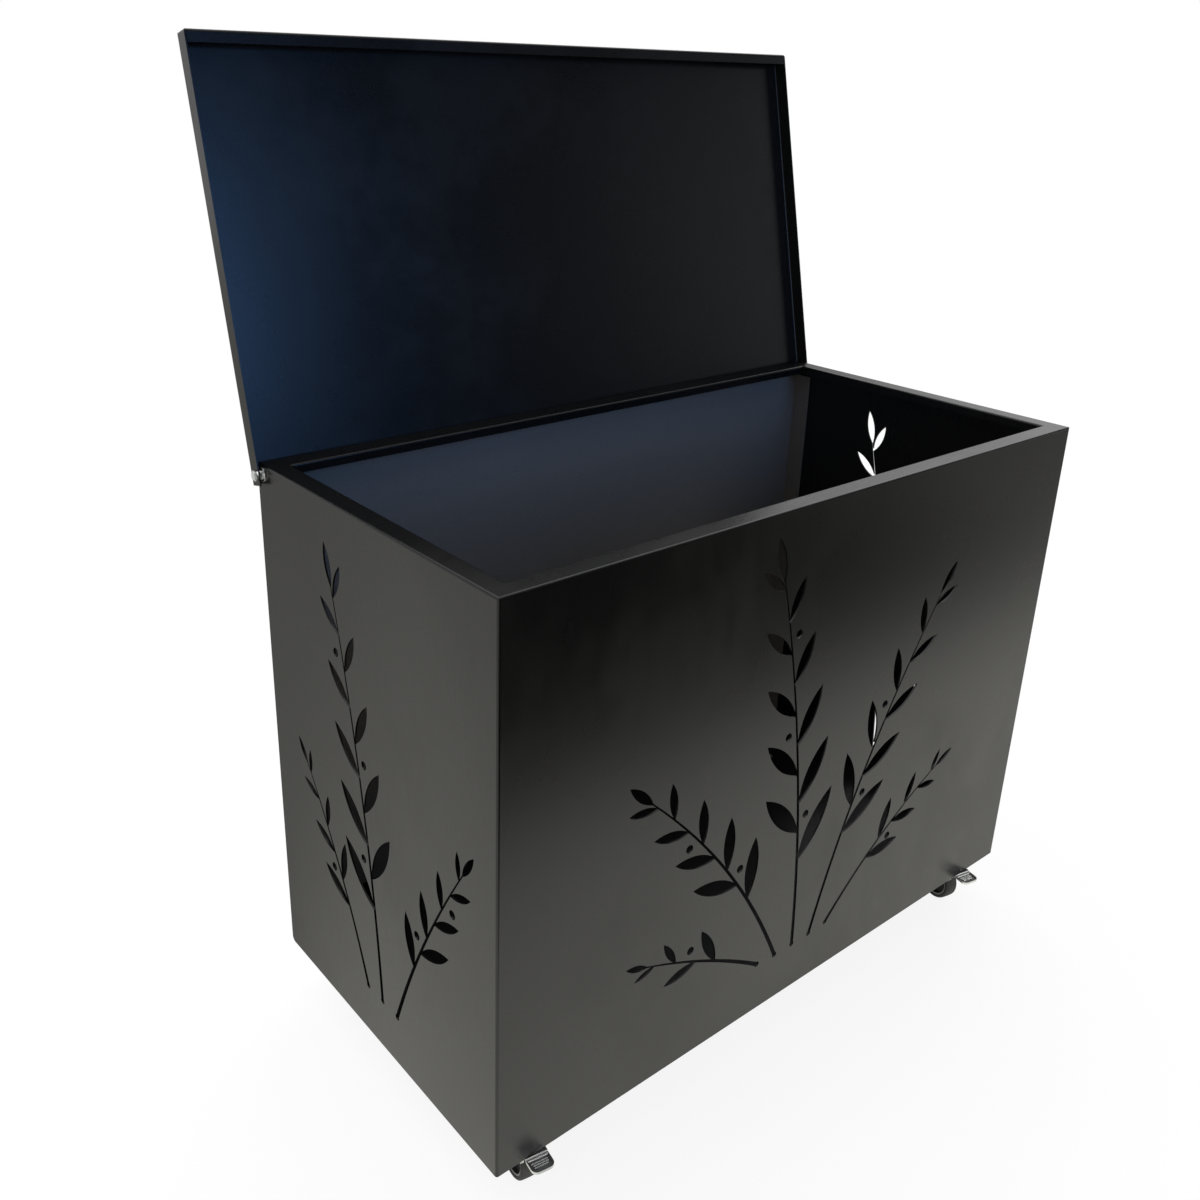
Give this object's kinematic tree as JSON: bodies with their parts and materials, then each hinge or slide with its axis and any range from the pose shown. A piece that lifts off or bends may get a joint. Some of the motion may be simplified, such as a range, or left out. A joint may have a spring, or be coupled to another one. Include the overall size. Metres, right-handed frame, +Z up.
{
  "type": "log box",
  "caption": "Rolling firewood box of folded black sheet steel with leafy cut-outs in its walls, a hinged pan lid that leans open on the rear wall, and swivel castors.",
  "frame": {"origin": "on the floor, in the middle of the object's outline with the lid open at rest", "axes": "+X to the right seen from the front, +Y to the rear, +Z up"},
  "size_m": [0.8212, 0.5122, 1.0262],
  "materials": {
    "powder_coat": "satin black powder coat with a fine grain",
    "zinc": "bright zinc plating",
    "ball_steel": "polished, greased",
    "hub_plastic": "moulded, fine matt",
    "grey_rubber": "matt grey tread, slightly worn"
  },
  "bodies": {
    "box": {"body_shell": "powder_coat", "rear_panel": "powder_coat", "floor_plate": "powder_coat", "hinge_bolts": "zinc", "hinge_washers": "zinc", "hinge_bushes": "zinc", "hinge_nuts": "zinc", "castor_bolts": "zinc", "castor_nuts": "zinc", "castor_plate_fl": "zinc", "castor_kingpin_fl": "zinc", "castor_balls_fl": "ball_steel", "castor_plate_fr": "zinc", "castor_kingpin_fr": "zinc", "castor_balls_fr": "ball_steel", "castor_plate_rl": "zinc", "castor_kingpin_rl": "zinc", "castor_balls_rl": "ball_steel", "castor_plate_rr": "zinc", "castor_kingpin_rr": "zinc", "castor_balls_rr": "ball_steel"},
    "lid": {"lid": "powder_coat"},
    "fork_fl": {"castor_fork_fl": "zinc", "axle_bolt_fl": "zinc", "axle_nut_fl": "zinc", "pedal_rivet_fl": "zinc"},
    "wheel_fl": {"wheel_hub_fl": "hub_plastic", "tyre_fl": "grey_rubber"},
    "pedal_fl": {"brake_pedal_fl": "zinc"},
    "fork_fr": {"castor_fork_fr": "zinc", "axle_bolt_fr": "zinc", "axle_nut_fr": "zinc", "pedal_rivet_fr": "zinc"},
    "wheel_fr": {"wheel_hub_fr": "hub_plastic", "tyre_fr": "grey_rubber"},
    "pedal_fr": {"brake_pedal_fr": "zinc"},
    "fork_rl": {"castor_fork_rl": "zinc", "axle_bolt_rl": "zinc", "axle_nut_rl": "zinc"},
    "wheel_rl": {"wheel_hub_rl": "hub_plastic", "tyre_rl": "grey_rubber"},
    "fork_rr": {"castor_fork_rr": "zinc", "axle_bolt_rr": "zinc", "axle_nut_rr": "zinc"},
    "wheel_rr": {"wheel_hub_rr": "hub_plastic", "tyre_rr": "grey_rubber"}
  },
  "joints": [
    {"name": "lid_hinge", "type": "hinge", "parent": "box", "child": "lid", "pos_m": [0, 0.15312, 0.6257], "axis": [1, 0, 0], "range_deg": [0, 102.88]},
    {"name": "swivel_fl", "type": "hinge", "parent": "box", "child": "fork_fl", "pos_m": [-0.345, -0.17858, 0.063], "axis": [0, 0, 1], "continuous": true},
    {"name": "roll_fl", "type": "hinge", "parent": "fork_fl", "child": "wheel_fl", "pos_m": [-0.34896, -0.20225, 0.025], "axis": [0.9863, -0.165, 0], "continuous": true},
    {"name": "brake_fl", "type": "hinge", "parent": "fork_fl", "child": "pedal_fl", "pos_m": [-0.3521, -0.22099, 0.0495], "axis": [0.9863, -0.165, 0], "range_deg": [0, 6]},
    {"name": "swivel_fr", "type": "hinge", "parent": "box", "child": "fork_fr", "pos_m": [0.345, -0.17858, 0.063], "axis": [0, 0, 1], "continuous": true},
    {"name": "roll_fr", "type": "hinge", "parent": "fork_fr", "child": "wheel_fr", "pos_m": [0.34001, -0.20206, 0.025], "axis": [0.9781, -0.2079, 0], "continuous": true},
    {"name": "brake_fr", "type": "hinge", "parent": "fork_fr", "child": "pedal_fr", "pos_m": [0.33606, -0.22064, 0.0495], "axis": [0.9781, -0.2079, 0], "range_deg": [0, 6]},
    {"name": "swivel_rl", "type": "hinge", "parent": "box", "child": "fork_rl", "pos_m": [-0.345, 0.10542, 0.063], "axis": [0, 0, 1], "continuous": true},
    {"name": "roll_rl", "type": "hinge", "parent": "fork_rl", "child": "wheel_rl", "pos_m": [-0.3504, 0.08203, 0.025], "axis": [0.9744, -0.225, 0], "continuous": true},
    {"name": "swivel_rr", "type": "hinge", "parent": "box", "child": "fork_rr", "pos_m": [0.345, 0.10542, 0.063], "axis": [0, 0, 1], "continuous": true},
    {"name": "roll_rr", "type": "hinge", "parent": "fork_rr", "child": "wheel_rr", "pos_m": [0.34208, 0.0816, 0.025], "axis": [0.9925, -0.1219, 0], "continuous": true}
  ]
}
